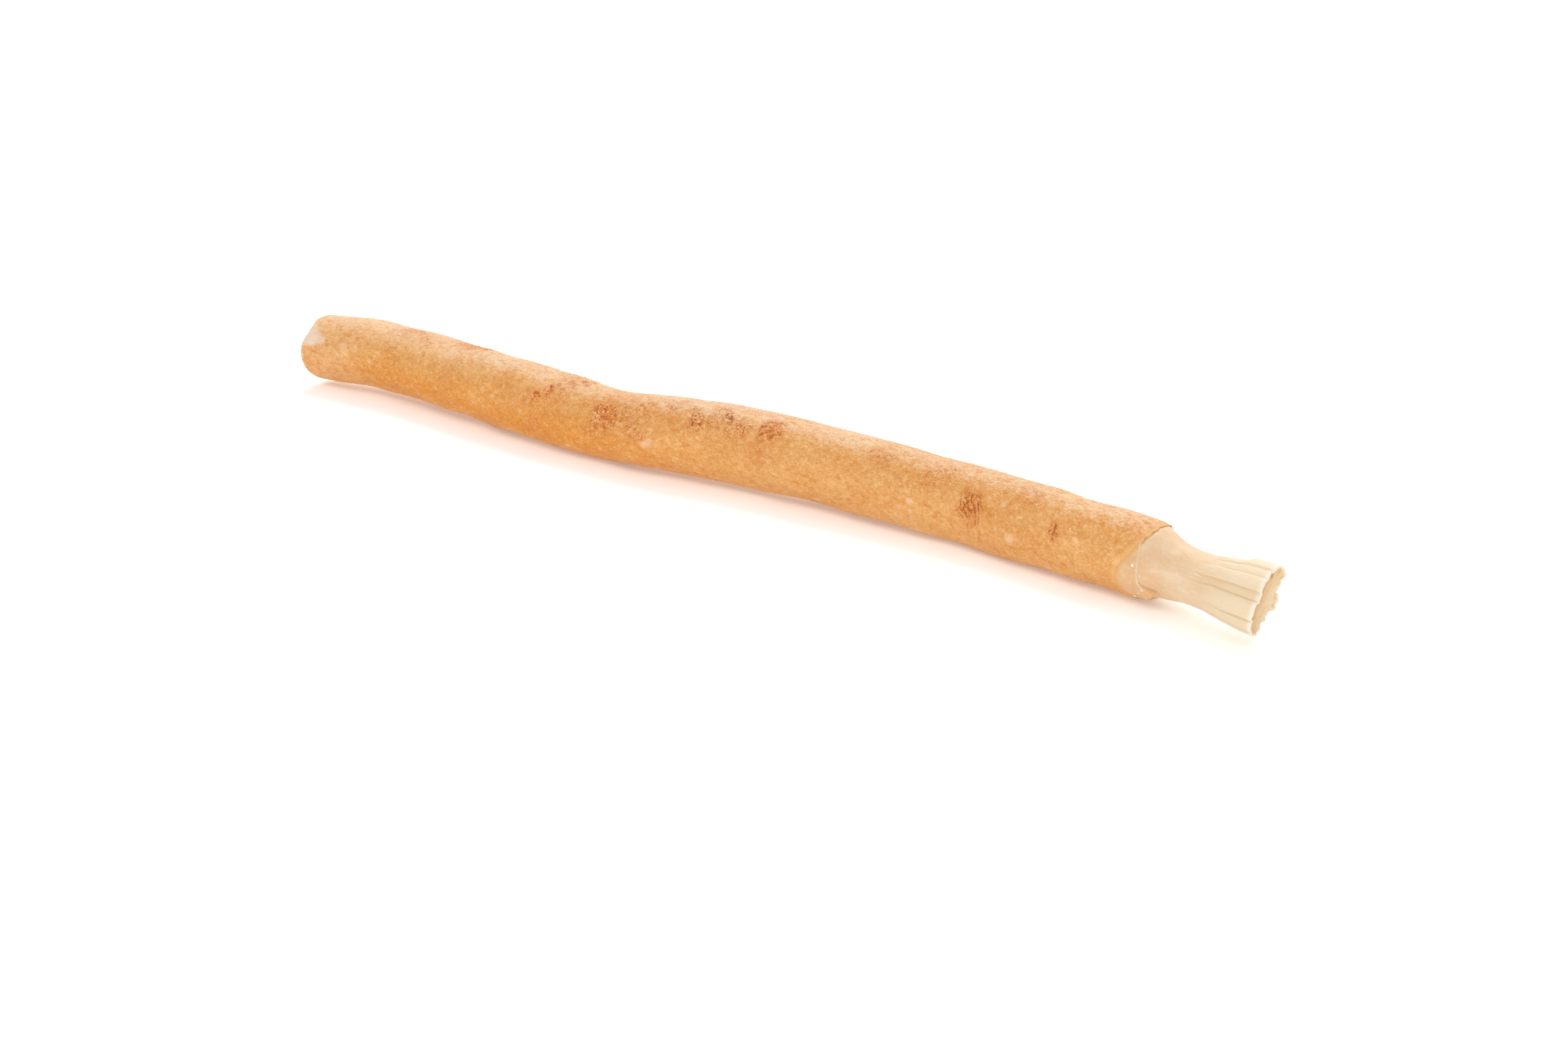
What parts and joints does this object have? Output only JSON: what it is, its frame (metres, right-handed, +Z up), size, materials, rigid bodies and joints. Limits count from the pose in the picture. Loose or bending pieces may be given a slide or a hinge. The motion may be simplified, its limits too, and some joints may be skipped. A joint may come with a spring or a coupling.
{
  "type": "miswak stick",
  "caption": "Slightly crooked chewing stick of natural root wood in its bark, with one end peeled and frayed into a short brush of fibres.",
  "frame": {"origin": "on the surface that the stick lies on, under the middle of its box", "axes": "+X along the stick towards the brush, +Z up"},
  "size_m": [0.1526, 0.0146, 0.0099],
  "materials": {
    "bark": "dry matt bark, warm tan, finely fibrous, with darker scars",
    "peeled_wood": "pale cream raw wood, matt, split into stiff fibres"
  },
  "bodies": {
    "root": {"miswak_stick": "bark"}
  },
  "joints": []
}
